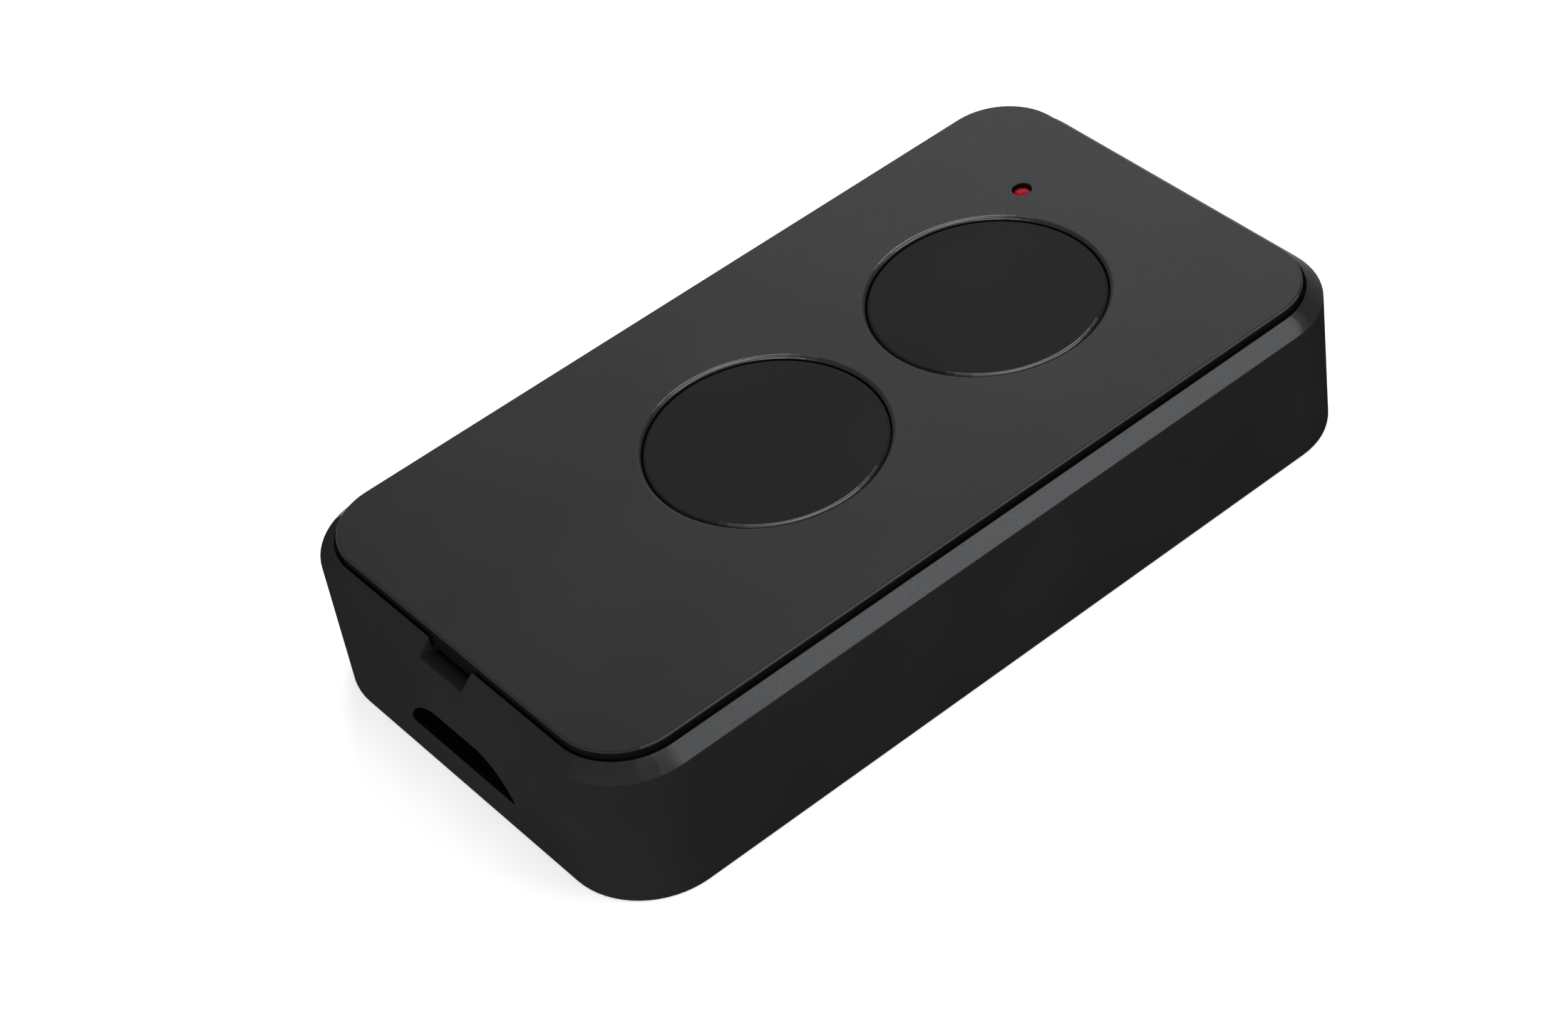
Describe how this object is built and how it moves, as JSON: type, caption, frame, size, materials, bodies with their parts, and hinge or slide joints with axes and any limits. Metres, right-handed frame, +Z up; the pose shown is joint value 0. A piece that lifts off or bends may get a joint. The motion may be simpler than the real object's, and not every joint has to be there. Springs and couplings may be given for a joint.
{
  "type": "gate remote control",
  "caption": "Slim hand-held gate remote: rounded box with a snap-in cover, round push buttons, a lamp window and a key-ring slot through its end.",
  "frame": {"origin": "middle of the shell's flat underside", "axes": "+Z up through the cover and the buttons, +Y towards the short end with the lamp, +X towards the long wall on the right when the lamp end points away"},
  "size_m": [0.033, 0.061, 0.0115],
  "materials": {
    "shell_plastic": "satin moulded plastic, near black",
    "cover_plastic": "satin moulded plastic, charcoal",
    "button_plastic": "smooth satin plastic, near black",
    "red_clear_plastic": "clear red, polished",
    "board_laminate": "green solder mask on glass-fibre laminate",
    "copper": "bare copper foil",
    "cell_steel": "nickel-plated steel",
    "spring_steel": "plated spring sheet",
    "switch_plastic": "moulded black plastic",
    "plunger_plastic": "moulded black plastic",
    "plated_sheet": "tin-plated sheet",
    "white_plastic": "white moulded plastic",
    "chip_resin": "moulded black resin",
    "ceramic": "pale fired ceramic",
    "gold_plate": "gold-plated lid",
    "resistor_film": "dark glaze",
    "capacitor_ceramic": "tan fired ceramic",
    "ferrite": "dark grey ferrite"
  },
  "bodies": {
    "shell": {"lower_shell": "shell_plastic", "circuit_board": "board_laminate", "antenna_track": "copper", "coin_cell": "cell_steel", "battery_clip": "spring_steel", "battery_contact": "spring_steel", "switch_base_1": "switch_plastic", "switch_base_2": "switch_plastic", "switch_dome_1": "spring_steel", "switch_dome_2": "spring_steel", "switch_cover_1": "plated_sheet", "switch_cover_2": "plated_sheet", "switch_terminals_1": "plated_sheet", "switch_terminals_2": "plated_sheet", "led_base": "white_plastic", "led_lens": "red_clear_plastic", "encoder_chip": "chip_resin", "encoder_leads": "plated_sheet", "saw_resonator": "ceramic", "resonator_lid": "gold_plate", "rf_transistor": "chip_resin", "transistor_leads": "plated_sheet", "chip_resistors": "resistor_film", "chip_capacitors": "capacitor_ceramic", "chip_inductors": "ferrite", "chip_ends": "plated_sheet"},
    "cover": {"top_cover": "cover_plastic", "light_guide": "red_clear_plastic"},
    "button_1": {"button_1": "button_plastic"},
    "button_2": {"button_2": "button_plastic"},
    "plunger_1": {"switch_plunger_1": "plunger_plastic"},
    "plunger_2": {"switch_plunger_2": "plunger_plastic"}
  },
  "joints": [
    {"name": "cover_tilt", "type": "hinge", "parent": "shell", "child": "cover", "pos_m": [0, 0.02945, 0.01095], "axis": [-1, 0, 0], "range_deg": [0, 20]},
    {"name": "button_1_press", "type": "slide", "parent": "cover", "child": "button_1", "axis": [0, 0, -1], "range_m": [0, 0.0003], "stiffness_N_per_m": 5000},
    {"name": "button_2_press", "type": "slide", "parent": "cover", "child": "button_2", "axis": [0, 0, -1], "range_m": [0, 0.0003], "stiffness_N_per_m": 5000},
    {"name": "plunger_1_press", "type": "slide", "parent": "shell", "child": "plunger_1", "axis": [0, 0, -1], "range_m": [0, 0.0003], "deforming": ["switch_dome_1"]},
    {"name": "plunger_2_press", "type": "slide", "parent": "shell", "child": "plunger_2", "axis": [0, 0, -1], "range_m": [0, 0.0003], "deforming": ["switch_dome_2"]}
  ],
  "couplings": [
    {"joint": "plunger_1_press", "follows": "button_1_press", "ratio": 1},
    {"joint": "plunger_2_press", "follows": "button_2_press", "ratio": 1}
  ]
}
